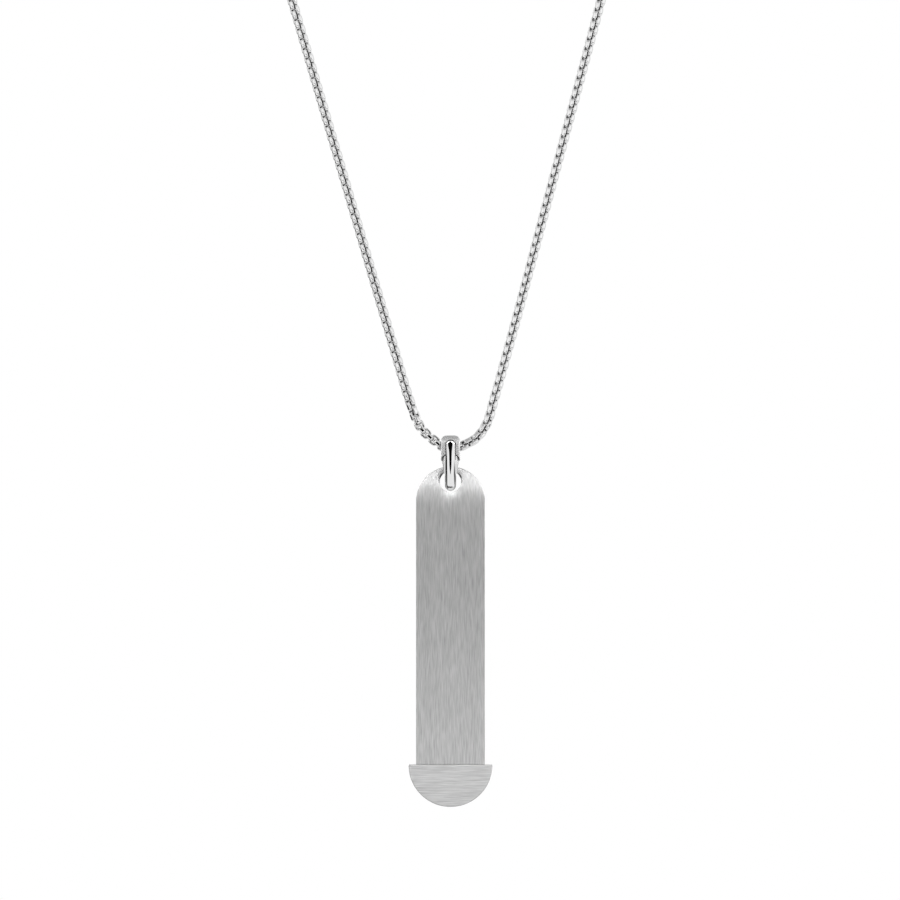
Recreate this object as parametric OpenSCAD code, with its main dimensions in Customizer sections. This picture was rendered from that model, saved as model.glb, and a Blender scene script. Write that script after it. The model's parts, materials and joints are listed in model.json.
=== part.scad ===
// A long bar pendant that hangs by a hooded bail from a fine round box chain.
// Millimetres. +Z is up and the pendant's face looks along -Y.
// The origin is on the inner side of the clasp, where the chain rests on the nape.

/* [Chain] */
// Outer diameter of the round box chain
chain_d = 1.5; // [1.2:0.1:1.6]
// How far the chain's lowest point hangs below the nape
drop = 185.5; // [180:0.5:200]
// How far the pendant hangs in front of the nape
front = 104; // [100:1:110]

/* [Clasp] */
// Length of the plain barrel clasp
clasp_l = 10.8; // [10:0.1:10.8]
// Diameter of the clasp
clasp_d = 3.2; // [2.8:0.1:4]
// Chamfer round both ends of the clasp
clasp_chamfer = 0.5; // [0.2:0.1:0.8]

/* [Bail] */
// Height of the hood's top above the chain's centre
hood_rise = 2.03; // [1.9:0.01:2.2]
// Width of the hood across its open sides
hood_w = 2.86; // [2.8:0.02:3]
// Depth of the hood from front to back
hood_depth = 4.1; // [4:0.1:4.4]
// Radius of the hood's upper corners, seen from the front
hood_corner = 0.68; // [0.4:0.02:0.8]
// Radius of the hood's bore at its waist
bore_waist = 1.05; // [1.0:0.01:1.1]
// Radius of the hood's bore at its two mouths
bore_mouth = 1.4; // [1.35:0.01:1.45]
// Diameter of the round bar that makes the loop
bar_d = 1.64; // [1.5:0.02:1.7]
// Depth of the loop from front to back
loop_depth = 4.8; // [4.7:0.1:5.2]
// How far the loop's lowest point lies below the chain's centre
loop_drop = 6.35; // [6.2:0.05:6.5]
// Thickness of the bow that the plate hangs on
saddle_t = 2.85; // [2.6:0.05:2.9]
// Width of the gap between the front bar and the back bar
slot_w = 2.1; // [2:0.02:2.2]
// Fine gap at the seam between the hood and the loop
seam = 0.06; // [0.04:0.01:0.1]

/* [Plate] */
// Width of the bar-shaped plate, whose top is a half circle
plate_w = 10.3; // [9:0.1:12]
// Height of the plate from its round top to the end cap
plate_h = 44.7; // [35:0.1:60]
// Thickness of the plate
plate_t = 1.5; // [1.2:0.05:1.5]
// Diameter of the hole that the bow passes through
hole_d = 3.2; // [3.2:0.05:3.6]
// Distance from the plate's top edge to the hole's centre
hole_in = 2.25; // [2.2:0.05:3]
// Bevel round the hole and round the plate's edges
plate_bevel = 0.1; // [0.05:0.05:0.3]
// Running clearance between the bow and the top of the hole
seat_gap = 0.15; // [0.1:0.01:0.2]

/* [End cap] */
// Width of the half-round end cap
cap_w = 12.6; // [11:0.1:14]
// Thickness of the end cap
cap_t = 2.3; // [2.2:0.05:3]
// Width of the plate's tongue inside the cap
tongue_w = 8; // [6:0.1:9]
// Length of the plate's tongue inside the cap
tongue_l = 2.4; // [1:0.1:3]
// Fit clearance round the tongue
tongue_gap = 0.05; // [0.03:0.01:0.1]

/* [Hidden] */
$fn = 64;
over = 1;

// Places that follow from the sizes, measured from the chain's lowest centre
bar_r = bar_d / 2;
bar_y = loop_depth / 2 - bar_r;
bow_z = bar_y + bar_r - loop_drop;
saddle_z = saddle_t - loop_drop;
hole_z = saddle_z + seat_gap - hole_d / 2;
plate_top = hole_z + hole_in;
cap_top = plate_top - plate_h;

// The loop's flanks have round shoulders, and the hood's lower edge follows them
shoulder_half = 1.26;
shoulder_top = -0.99;
shoulder_r = 0.76;
// The hood's sides run straight down to the taper, and end in narrow tips at the foot
taper_z = -1.6;
hood_foot = [1.37, -1.87];
// Radius of the hood's front and back upper corners, seen from the side
hood_side_r = hood_rise - 0.13;
// Half the length of the bore's straight waist, and how far its mouths reach past the hood's sides
waist_half = 0.35;
mouth_over = 0.01;
// Top of the front bar, and the corners of the flat flanks behind it
bar_top = 1.2;
flank_shoulder = [1.26, -1.9];
flank_waist = [1.15, -2.5];
flank_foot = [1.07, -3.5];
flank_end = -3.95;
// Distance from the middle plane to the floor of the grooves that take the bars
recess_y = 1.45;

// Route of the chain round the neck, on one side: across, back, up, from the nape
neck_right = [
    [5.5, 1.6, 0], [8.5, 1.6, 0], [16, 0.4, -0.4], [28, -5, -1.8], [40, -14, -4],
    [49, -26, -7], [53, -41, -12], [51, -52.5, -18.5]
];
neck_left = [
    [-5.5, 1.6, 0], [-8.5, 1.6, 0], [-16, 0.4, -0.4], [-28, -5, -1.8], [-40, -14, -4],
    [-50, -26, -7], [-55, -41, -12], [-54, -52, -18.5]
];
// Route of the two hanging strands: across, back and up from the chain's lowest point
strand_right = [
    [47.2, 44.5, 160], [41.8, 38.5, 140], [32.7, 29, 106], [23, 19, 68.5], [14.7, 10.5, 37.5],
    [8.2, 3.8, 13.4], [6.4, 2, 7.4], [5.2, 1, 3.7], [4.4, 0.6, 2.4], [3.4, 0.3, 1.35],
    [2.4, 0.1, 0.7], [1.4, 0, 0.25], [0.1, 0, 0]
];
strand_left = [
    [-51, 44.7, 160], [-45.2, 38.5, 140], [-35, 29, 106], [-24.2, 19, 68.5], [-15.1, 10.5, 37.5],
    [-8, 3.8, 13.4], [-6.2, 2, 7.4], [-5.1, 1.2, 4.4], [-4.3, 0.7, 2.9], [-3.3, 0.4, 1.9],
    [-2.3, 0.15, 1.1], [-1.4, 0, 0.4]
];

function hung(points) = [for (p = points) p + [0, -front, -drop]];
function backwards(points) = [for (i = [len(points) - 1 : -1 : 0]) points[i]];

route = concat(neck_right, hung(strand_right), backwards(hung(strand_left)), backwards(neck_left));
last = len(route) - 1;

// A smooth curve through the route: a cubic between neighbours, with slopes weighted by distance
function gap_after(i) = norm(route[i + 1] - route[i]);
function chord_dir(i) = (route[i + 1] - route[i]) / gap_after(i);
function slope_at(i) =
    i == 0 ? chord_dir(0) :
    i == last ? chord_dir(last - 1) :
    (chord_dir(i) * gap_after(i - 1) + chord_dir(i - 1) * gap_after(i)) / (gap_after(i - 1) + gap_after(i));
function curve(i, u) =
    (2 * u ^ 3 - 3 * u ^ 2 + 1) * route[i]
    + (u ^ 3 - 2 * u ^ 2 + u) * gap_after(i) * slope_at(i)
    + (3 * u ^ 2 - 2 * u ^ 3) * route[i + 1]
    + (u ^ 3 - u ^ 2) * gap_after(i) * slope_at(i + 1);
function curve_dir(i, u) =
    (6 * u ^ 2 - 6 * u) * route[i]
    + (3 * u ^ 2 - 4 * u + 1) * gap_after(i) * slope_at(i)
    + (6 * u - 6 * u ^ 2) * route[i + 1]
    + (3 * u ^ 2 - 2 * u) * gap_after(i) * slope_at(i + 1);

function unit(v) = v / norm(v);

// One ring of the chain's tube, turned so that its first point looks round the loop's middle
loop_middle = [0, -front / 2, -drop * 0.4];
ring_sides = 8;
function ring(centre, dir) =
    let (side = unit(cross(dir, loop_middle - centre)), up = unit(cross(dir, side)))
    [for (k = [0 : ring_sides - 1])
        centre + chain_d / 2 * (cos(k * 360 / ring_sides) * side + sin(k * 360 / ring_sides) * up)];

rings_per_gap = 2;
ring_list = concat(
    [for (i = [0 : last - 1]) for (k = [0 : rings_per_gap - 1])
        ring(curve(i, k / rings_per_gap), curve_dir(i, k / rings_per_gap))],
    [ring(route[last], curve_dir(last - 1, 1))]
);

module chain() {
    rings = len(ring_list);
    walls = [for (r = [0 : rings - 2]) for (k = [0 : ring_sides - 1])
        let (next = (k + 1) % ring_sides)
        [r * ring_sides + k, r * ring_sides + next, (r + 1) * ring_sides + next, (r + 1) * ring_sides + k]];
    start = [for (k = [ring_sides - 1 : -1 : 0]) k];
    end = [for (k = [0 : ring_sides - 1]) (rings - 1) * ring_sides + k];
    color("gainsboro")
        polyhedron([for (r = ring_list) each r], concat([start], walls, [end]), convexity = 6);
}

module clasp() {
    r = clasp_d / 2;
    half = clasp_l / 2;
    color("silver")
        translate([0, route[0][1], 0]) rotate([0, 90, 0])
            rotate_extrude()
                polygon([[0, -half], [r - clasp_chamfer, -half], [r, clasp_chamfer - half],
                    [r, half - clasp_chamfer], [r - clasp_chamfer, half], [0, half]]);
}

// Bodies below are modelled about the chain's lowest centre and then hung in place
module hang() {
    translate([0, -front, -drop]) children();
}

// A solid whose outline is drawn in X and Z, centred on the plane Y = 0
module seen_from_front(depth) {
    rotate([90, 0, 0]) linear_extrude(depth, center = true) children();
}

// A solid whose outline is drawn in Y and Z, centred on the plane X = 0
module seen_from_side(width) {
    rotate([90, 0, 90]) linear_extrude(width, center = true) children();
}

// The chain's way through the bail, a bore about X that opens towards both mouths
module chain_way() {
    half = hood_w / 2 + mouth_over;
    rotate([0, 90, 0]) rotate_extrude()
        polygon([[0, -half], [bore_mouth, -half], [bore_waist, -waist_half], [bore_waist, waist_half],
            [bore_mouth, half], [0, half]]);
}

// The space between the two bars, from the bow up to the chain
module plate_way() {
    translate([-hood_w, -slot_w / 2, saddle_z]) cube([2 * hood_w, slot_w, -saddle_z]);
}

// The right half of an outline and its mirror image, as one closed outline
function both_sides(half) = concat(half, [for (p = backwards(half)) [-p[0], p[1]]]);

// The shoulders of the flanks seen from the front, grown by a gap
module shoulders(gap) {
    inner = shoulder_half - shoulder_r;
    middle_z = shoulder_top - shoulder_r;
    for (s = [-1, 1]) translate([s * inner, middle_z]) circle(shoulder_r + gap);
    translate([-inner, -loop_drop]) square([2 * inner, loop_drop + shoulder_top + gap]);
    translate([-shoulder_half - gap, -loop_drop]) square([2 * (shoulder_half + gap), loop_drop + middle_z]);
}

module hood_front_outline() {
    half = hood_w / 2;
    corner = [half - hood_corner, hood_rise - hood_corner];
    round_corner = [for (a = [90 : -15 : 0]) corner + hood_corner * [cos(a), sin(a)]];
    difference() {
        polygon(both_sides(concat(round_corner, [[half, taper_z], hood_foot])));
        shoulders(seam);
    }
}

module hood_side_outline() {
    offset_y = hood_depth / 2 - hood_side_r;
    offset_z = hood_rise - hood_side_r;
    for (s = [-1, 1]) translate([s * offset_y, offset_z]) circle(hood_side_r);
    translate([-offset_y, 0]) square([2 * offset_y, hood_rise]);
    translate([-hood_depth / 2, hood_foot[1]]) square([hood_depth, offset_z - hood_foot[1]]);
}

module bail_hood() {
    color("silver") hang() difference() {
        intersection() {
            seen_from_side(hood_w) hood_side_outline();
            seen_from_front(hood_depth + over) hood_front_outline();
        }
        chain_way();
        plate_way();
        for (s = [-1, 1]) hood_recess(s);
    }
}

// Everything farther than y from the middle plane, towards the front or the back
module outward_of(y, s) {
    far = loop_depth;
    translate([-far, s > 0 ? y : -y - far, -2 * far]) cube([2 * far, far, 4 * far]);
}

// The round-ended groove in the hood that takes the end of one bar
module hood_recess(s) {
    r = bar_r + seam;
    intersection() {
        seen_from_front(2 * loop_depth) union() {
            translate([0, bar_top - bar_r]) circle(r);
            translate([-r, -loop_drop]) square([2 * r, loop_drop + bar_top - bar_r]);
        }
        outward_of(recess_y, s);
    }
}

module flank_outline() {
    intersection() {
        shoulders(0);
        polygon(both_sides([
            [shoulder_half, shoulder_top], flank_shoulder, flank_waist, flank_foot, [bar_r, flank_end]
        ]));
    }
}

module bail_loop() {
    color("gainsboro") hang() difference() {
        union() {
            translate([0, 0, bow_z]) rotate([90, 0, 90]) rotate([0, 0, 180])
                rotate_extrude(angle = 180) translate([bar_y, 0]) circle(bar_r);
            saddle();
            for (s = [-1, 1]) loop_bar(s);
        }
        plate_way();
        chain_way();
    }
}

// The thick middle of the bow, round on top, that fills the loop up to the plate's seat
module saddle() {
    intersection() {
        translate([0, 0, bow_z]) rotate([0, 90, 0]) cylinder(h = bar_d, r = bar_y, center = true);
        seen_from_front(2 * bar_y) union() {
            translate([0, saddle_z - bar_r]) circle(bar_r);
            translate([-bar_r, -loop_drop]) square([bar_d, saddle_z - bar_r + loop_drop]);
        }
    }
}

// One bar of the loop, with the flat flank behind it that stands against the plate's rim
module loop_bar(s) {
    flank_d = bar_y - slot_w / 2;
    translate([0, s * bar_y, bow_z]) cylinder(h = flank_shoulder[1] - bow_z, r = bar_r);
    intersection() {
        union() {
            translate([0, s * bar_y, bow_z]) cylinder(h = bar_top - bar_r - bow_z, r = bar_r);
            translate([0, s * bar_y, bar_top - bar_r]) sphere(bar_r);
        }
        outward_of(recess_y + seam, s);
    }
    translate([0, s * (slot_w / 2 + flank_d / 2), 0]) seen_from_front(flank_d) flank_outline();
}

module plate_outline() {
    r = plate_w / 2;
    difference() {
        union() {
            translate([0, plate_top - r]) circle(r, $fn = 180);
            translate([-r, cap_top]) square([plate_w, plate_h - r]);
            translate([-tongue_w / 2, cap_top - tongue_l]) square([tongue_w, tongue_l + over]);
        }
        translate([0, hole_z]) circle(hole_d / 2);
    }
}

module plate() {
    color("darkgray") hang() difference() {
        seen_from_front(plate_t) plate_outline();
        for (s = [-1, 1])
            translate([0, s * plate_t / 2, hole_z]) rotate([-90 * s, 0, 0])
                translate([0, 0, -plate_bevel])
                    cylinder(h = 2 * plate_bevel, r1 = hole_d / 2, r2 = hole_d / 2 + 2 * plate_bevel);
    }
}

module end_cap() {
    r = cap_w / 2;
    color("silver") hang() difference() {
        seen_from_front(cap_t) intersection() {
            translate([0, cap_top]) circle(r, $fn = 180);
            translate([-r, cap_top - r]) square([cap_w, r]);
        }
        translate([-tongue_w / 2 - tongue_gap, -plate_t / 2 - tongue_gap, cap_top - tongue_l - tongue_gap])
            cube([tongue_w + 2 * tongue_gap, plate_t + 2 * tongue_gap, tongue_l + over]);
    }
}

chain();
clasp();
bail_hood();
bail_loop();
plate();
end_cap();
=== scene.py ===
import json
import math

import bpy
import numpy as np
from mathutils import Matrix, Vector


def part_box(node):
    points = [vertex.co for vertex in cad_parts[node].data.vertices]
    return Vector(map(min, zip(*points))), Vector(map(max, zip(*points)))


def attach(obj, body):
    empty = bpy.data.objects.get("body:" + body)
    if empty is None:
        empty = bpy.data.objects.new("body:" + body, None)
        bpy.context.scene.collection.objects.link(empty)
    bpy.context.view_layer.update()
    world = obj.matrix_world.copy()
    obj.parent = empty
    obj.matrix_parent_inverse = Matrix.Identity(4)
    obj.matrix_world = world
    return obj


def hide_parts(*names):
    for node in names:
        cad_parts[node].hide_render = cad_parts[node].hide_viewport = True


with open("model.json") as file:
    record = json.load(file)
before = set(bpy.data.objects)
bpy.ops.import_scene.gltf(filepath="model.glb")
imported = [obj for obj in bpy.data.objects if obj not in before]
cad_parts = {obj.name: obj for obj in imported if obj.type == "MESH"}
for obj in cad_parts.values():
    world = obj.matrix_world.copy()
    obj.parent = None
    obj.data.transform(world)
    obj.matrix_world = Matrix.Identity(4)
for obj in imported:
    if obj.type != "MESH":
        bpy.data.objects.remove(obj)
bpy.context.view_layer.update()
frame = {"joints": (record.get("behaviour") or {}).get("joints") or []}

MM = 0.001

# Lengths are in millimetres. The bail's and pendant's shapes are seen from AXIS, the chain's lowest centre
joints = {joint["name"]: joint for joint in frame["joints"]}
AXIS = np.array(joints["bail_swing"]["pos_m"]) / MM
HOLE_Z = joints["plate_sway"]["pos_m"][2] / MM - AXIS[2]


def local_box(node):
    """A node's lowest and highest corner, seen from the chain's lowest centre."""
    low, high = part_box(node)
    return np.array(low) / MM - AXIS, np.array(high) / MM - AXIS


hood_low, hood_high = local_box("bail_hood")
loop_low, loop_high = local_box("bail_loop")
_, plate_high = local_box("plate")
_, cap_high = local_box("end_cap")
clasp_low, clasp_high = (np.array(corner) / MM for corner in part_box("clasp"))

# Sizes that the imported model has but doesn't name
CHAIN_R = 0.75
HOLE_R = 1.6
SADDLE_Z = -3.5
SLOT_HALF = 1.05
RECESS_Y = 1.45
SEAM = 0.06
BAR_R = 0.82
BAR_TOP = 1.2
BORE_WAIST = 1.05
BORE_MOUTH = 1.4
CLASP_CORNER = 0.5


def smooth(share):
    """A soft step from 0 to 1."""
    share = np.clip(share, 0, 1)
    return share * share * (3 - 2 * share)


def ramp(value, start, end, low=0, high=1):
    """A soft change from low to high while a number, an array or a node's value goes from start to end."""
    if isinstance(value, NodeValue):
        return value.ramp(start, end, low, high)
    return low + (high - low) * smooth((value - start) / (end - start))


def table(value, steps):
    """The second column of a table of steps, read at a value of the first, with straight lines between."""
    if isinstance(value, NodeValue):
        return value.table(steps)
    return np.interp(value, *np.transpose(steps))


class NodeValue:
    """A value in a node tree, for plain arithmetic."""

    def __init__(self, tree, socket):
        self.tree = tree
        self.socket = socket

    def of(self, operation, *values):
        """The result of a Math node that takes the given values and numbers."""
        node = self.tree.nodes.new("ShaderNodeMath")
        node.operation = operation
        for port, value in zip(node.inputs, values):
            if isinstance(value, NodeValue):
                self.tree.links.new(value.socket, port)
            else:
                port.default_value = value
        return NodeValue(self.tree, node.outputs[0])

    def __add__(self, other):
        return self.of("ADD", self, other)

    def __sub__(self, other):
        return self.of("SUBTRACT", self, other)

    def __rsub__(self, other):
        return self.of("SUBTRACT", other, self)

    def __mul__(self, other):
        return self.of("MULTIPLY", self, other)

    def __truediv__(self, other):
        return self.of("DIVIDE", self, other)

    def __abs__(self):
        return self.of("ABSOLUTE", self)

    def ramp(self, start, end, low, high):
        node = self.tree.nodes.new("ShaderNodeMapRange")
        node.interpolation_type = "SMOOTHSTEP"
        for key, value in (("From Min", start), ("From Max", end), ("To Min", low), ("To Max", high)):
            node.inputs[key].default_value = value
        self.tree.links.new(self.socket, node.inputs["Value"])
        return NodeValue(self.tree, node.outputs["Result"])

    def table(self, steps):
        """Reads a table whose first column runs from -90 to 90 degrees."""
        node = self.tree.nodes.new("ShaderNodeFloatCurve")
        most = max(result for degrees, result in steps)
        points = node.mapping.curves[0].points
        while len(points) < len(steps):
            points.new(0.5, 0.5)
        for point, (degrees, result) in zip(points, steps):
            point.location = ((degrees + 90) / 180, result / most)
            point.handle_type = "VECTOR"
        node.mapping.update()
        share = (self + 90.0) / 180.0
        self.tree.links.new(share.socket, node.inputs["Value"])
        return NodeValue(self.tree, node.outputs["Value"]) * most


# Meshes
def new_mesh(name, points_mm, faces, rounded=True, sharp_deg=0):
    """A mesh object from points in millimetres in the part's frame."""
    mesh = bpy.data.meshes.new(name)
    points = np.asarray(points_mm, dtype=float) * MM
    mesh.from_pydata([tuple(p) for p in points], [], [tuple(f) for f in faces])
    mesh.validate()
    mesh.update()
    mesh.polygons.foreach_set("use_smooth", [rounded] * len(mesh.polygons))
    if sharp_deg:
        mesh.set_sharp_from_angle(angle=math.radians(sharp_deg))
    piece = bpy.data.objects.new(name, mesh)
    bpy.context.scene.collection.objects.link(piece)
    return piece


def tube_faces(rows, sides, closed):
    """Faces round a tube of rows of points. A closed tube's last row meets its first, and an open one gets
    a face at each end."""
    faces = []
    for row in range(rows if closed else rows - 1):
        after = (row + 1) % rows
        for k in range(sides):
            m = (k + 1) % sides
            faces.append((row * sides + k, row * sides + m, after * sides + m, after * sides + k))
    if not closed:
        faces.append(tuple(range(sides - 1, -1, -1)))
        faces.append(tuple((rows - 1) * sides + k for k in range(sides)))
    return faces


def place(piece, body, node):
    """Puts a piece on its body, in place of its node, which it hides."""
    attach(piece, body)
    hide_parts(node)
    return piece


# Rounded solids as distance fields, negative inside
def round_both(a, b, r):
    """What lies in both fields, with its new edge rounded to radius r."""
    outer = np.hypot(np.maximum(a + r, 0), np.maximum(b + r, 0))
    return np.minimum(np.maximum(a, b), -r) + outer


def round_either(a, b, r):
    """What lies in either field, with a fillet of radius r where they meet."""
    return -round_both(-a, -b, r)


def round_cut(a, b, r):
    """Field a without field b, with the cut's edge rounded to radius r."""
    return round_both(a, -b, r)


def box_2d(u, v, low, high, radii):
    """A rectangle whose upper and lower corners have the two radii."""
    mid_u, mid_v = (low[0] + high[0]) / 2, (low[1] + high[1]) / 2
    r = np.where(v > mid_v, radii[0], radii[1])
    du = np.abs(u - mid_u) - (high[0] - low[0]) / 2 + r
    dv = np.abs(v - mid_v) - (high[1] - low[1]) / 2 + r
    return np.hypot(np.maximum(du, 0), np.maximum(dv, 0)) + np.minimum(np.maximum(du, dv), 0) - r


# Radius of an edge that is hardly broken, and a height far under the bail
CRISP_R = 0.1
FAR_BELOW = -9

# How far out the chain's way goes on widening, as a share of the hood's half width
FLARE_END = 1.2


def chain_way(x, y, z):
    """The chain's way through the bail, which opens towards both mouths."""
    flare = (BORE_MOUTH - BORE_WAIST) * np.minimum(np.abs(x) / hood_high[0], FLARE_END) ** 2
    return np.hypot(y, z) - BORE_WAIST - flare


# Top of the space between the two bars, and the radius of its lower corners
SLOT_TOP = 0.9
SLOT_CORNER = 0.2


def plate_way(x, y, z):
    """The space between the two bars, from the bow up to the chain."""
    return box_2d(y, z, (-SLOT_HALF, SADDLE_Z), (SLOT_HALF, SLOT_TOP), (CRISP_R, SLOT_CORNER))


# The loop's flanks have round shoulders, and the hood's lower edge follows them
SHOULDER_HALF = 1.26
SHOULDER_TOP = -0.99
SHOULDER_R = 0.76


def shoulders(x, z, gap):
    """Distance outside the flanks' round shoulders, seen from the front, grown by a gap."""
    half, top = SHOULDER_HALF + gap, SHOULDER_TOP + gap
    return box_2d(x, z, (-half, FAR_BELOW), (half, top), (SHOULDER_R + gap, CRISP_R))


def arch(x, z, r, rise=0):
    """Distance outside a round-topped upright strip, seen from the front."""
    top = BAR_TOP - BAR_R + rise
    return np.where(z > top, np.hypot(x, z - top), np.abs(x)) - r


# The hood's upper corners seen from the side and from the front, and the rounding where both outlines meet
HOOD_SIDE_R = 1.4
HOOD_FRONT_R = 0.96
HOOD_EDGE_R = 0.24
# Below this height the hood's faces draw in, by this much times the square of the way down
HOOD_DRAW_Z = 1.2
HOOD_DRAW = 0.02
# The seam is cut wider than the solid's, so that it shows
SEAM_WIDER = 0.04
# Edges of the seam, the chain's mouths and the slot for the plate
SEAM_EDGE_R = 0.02
MOUTH_EDGE_R = 0.12
SLOT_EDGE_R = 0.08
# The groove for the bar is this much narrower than the bar, and this much higher
GROOVE_TIGHT = 0.03
GROOVE_HIGHER = 0.16


def hood_field(p):
    """The hood, without the seam and the ways of the chain, the plate and the bar."""
    x, y, z = p.T
    side = box_2d(y, z, (hood_low[1], hood_low[2]), (hood_high[1], hood_high[2]), (HOOD_SIDE_R, CRISP_R))
    side = np.maximum(side, np.abs(y) - hood_high[1] + HOOD_DRAW * np.maximum(HOOD_DRAW_Z - z, 0) ** 2)
    front = box_2d(x, z, (hood_low[0], hood_low[2]), (hood_high[0], hood_high[2]), (HOOD_FRONT_R, CRISP_R))
    field = round_both(side, front, HOOD_EDGE_R)
    field = round_cut(field, shoulders(x, z, SEAM + SEAM_WIDER), SEAM_EDGE_R)
    field = round_cut(field, chain_way(x, y, z), MOUTH_EDGE_R)
    field = round_cut(field, plate_way(x, y, z), SLOT_EDGE_R)
    groove = np.maximum(arch(x, z, BAR_R - GROOVE_TIGHT, GROOVE_HIGHER), RECESS_Y - np.abs(y))
    return np.maximum(field, -groove)


# The loop's side outline from its flat foot up: distance along it, tilt in degrees
LOOP_TILT = [
    (0, 90), (0.05, 75), (0.1, 58), (0.17, 45), (0.25, 38), (0.6, 34.5), (0.65, 31), (0.96, 23.3), (1.03, 19),
    (1.2, 16.5), (2.6, 14.5), (6.55, 0), (8.2, -6),
]


def loop_outline():
    """Half depth, height and tilt of close points up the loop's side outline."""
    along = np.concatenate([np.linspace(0, 1.38, 40), np.linspace(1.5, 8.2, 34)])
    tilt = np.radians(table(along, LOOP_TILT))
    step = np.diff(along, prepend=0)
    middle = np.radians(table(along - step / 2, LOOP_TILT))
    depth = np.cumsum(np.sin(middle) * step)
    height = loop_low[2] + np.cumsum(np.cos(middle) * step)
    return depth + loop_high[1] - depth.max(), height, tilt


LOOP_DEPTH, LOOP_HEIGHT, LOOP_LEAN = loop_outline()


def loop_side(y, z):
    """Distance outside the loop's side outline, which is convex."""
    off = loop_low[2] - z
    for depth, height, tilt in zip(LOOP_DEPTH, LOOP_HEIGHT, LOOP_LEAN):
        off = np.maximum(off, (np.abs(y) - depth) * math.cos(tilt) - (z - height) * math.sin(tilt))
    return off


# The bar's upper end is cut round, seen from the front: radius of its edge, height over which that sets in
BAR_END_R = 0.2
BAR_END_H = 0.5
# Under the saddle a web fills the bow: its edge's radius, its lower corners as a share of BAR_R, its fillet
WEB_EDGE_R = 0.1
WEB_CORNER = 0.98
WEB_FILLET = 0.12
# Half width of the flanks by height
FLANK_HALF = [(-3.95, 0.78), (-3.5, 1.07), (-2.5, 1.15), (-1.9, 1.3)]
# The flanks' sides and faces lean, so that a distance across them is shorter than one along Y or X
SIDE_LEAN = 0.97
FACE_LEAN = 0.88
# The flanks lie this far behind the bar, and slope away beyond a distance from its middle, more and more
FLANK_BACK = 0.5
FLANK_FROM = 0.7
FLANK_SLOPE = 0.3
FLANK_CURVE = 0.55
FLANK_EDGE_R = 0.04
FLANK_FILLET = 0.02
# A thin core behind the seam: how far it rises over the shoulders, its foot, how far inside the hood it ends
CORE_RISE = 0.3
CORE_FOOT = -1.86
CORE_INSIDE = 0.05
# The distances from the middle plane between which the core lies
CORE_NEAR, CORE_FAR = 0.85, 1.12
# Edges of the plate's and the chain's way through the loop
SADDLE_EDGE_R = 0.1
BORE_EDGE_R = 0.05
# Above this height the bar lies in the hood's recess
RECESS_FOOT = -0.6


def loop_field(p):
    """The loop: its bar, the web in its bow, the flanks behind the bar and the core behind the seam."""
    x, y, z = p.T
    off_side = loop_side(y, z)
    bar = np.hypot(x, off_side + BAR_R) - BAR_R
    below_end = ramp(z, BAR_TOP - BAR_R, BAR_TOP - BAR_R + BAR_END_H, 1, 0)
    bar = round_both(bar, arch(x, z, BAR_R) - BAR_END_R * below_end, BAR_END_R)
    web_r = BAR_R * WEB_CORNER
    web_front = box_2d(x, z, (-BAR_R, loop_low[2]), (BAR_R, SADDLE_Z), (web_r, web_r))
    field = round_either(bar, round_both(off_side + BAR_R, web_front, WEB_EDGE_R), WEB_FILLET)
    flank = np.maximum(shoulders(x, z, 0), (np.abs(x) - table(z, FLANK_HALF)) * SIDE_LEAN)
    beside = np.maximum(np.abs(x) - FLANK_FROM, 0)
    depth = np.interp(z, LOOP_HEIGHT, LOOP_DEPTH) - FLANK_BACK
    depth = depth - FLANK_SLOPE * beside - FLANK_CURVE * beside ** 2
    slab = np.maximum((np.abs(y) - depth) * FACE_LEAN, SLOT_HALF - np.abs(y))
    flank = round_both(flank, np.maximum(slab, FLANK_HALF[0][0] - z), FLANK_EDGE_R)
    field = round_either(field, flank, FLANK_FILLET)
    field = round_cut(field, plate_way(x, y, z), SADDLE_EDGE_R)
    core = np.maximum(shoulders(x, z, CORE_RISE), np.abs(x) - hood_high[0] + CORE_INSIDE)
    core = np.maximum(core, np.maximum(np.abs(y) - CORE_FAR, CORE_NEAR - np.abs(y)))
    field = np.minimum(field, np.maximum(core, CORE_FOOT - z))
    field = round_cut(field, chain_way(x, y, z), BORE_EDGE_R)
    # In the recess the bar keeps clear of the bore's wall
    return np.maximum(field, np.minimum(RECESS_Y + SEAM - np.abs(y), z - RECESS_FOOT))


# Grid step of the cast pieces, and the smallest value that a field may have on the grid
CAST_STEP = 0.05
TINY = 1e-9
# How often points are pulled onto the surface, how far at most and how far out the slope is taken, in steps
PULLS = 3
PULL_MOST = 0.5
SLOPE_REACH = 0.2
# A flatter slope than this counts as this
SLOPE_LEAST = 0.5
# The loop's core is a little wider than its flanks
CORE_ROOM = np.array([0.2, 0, 0])


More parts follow.
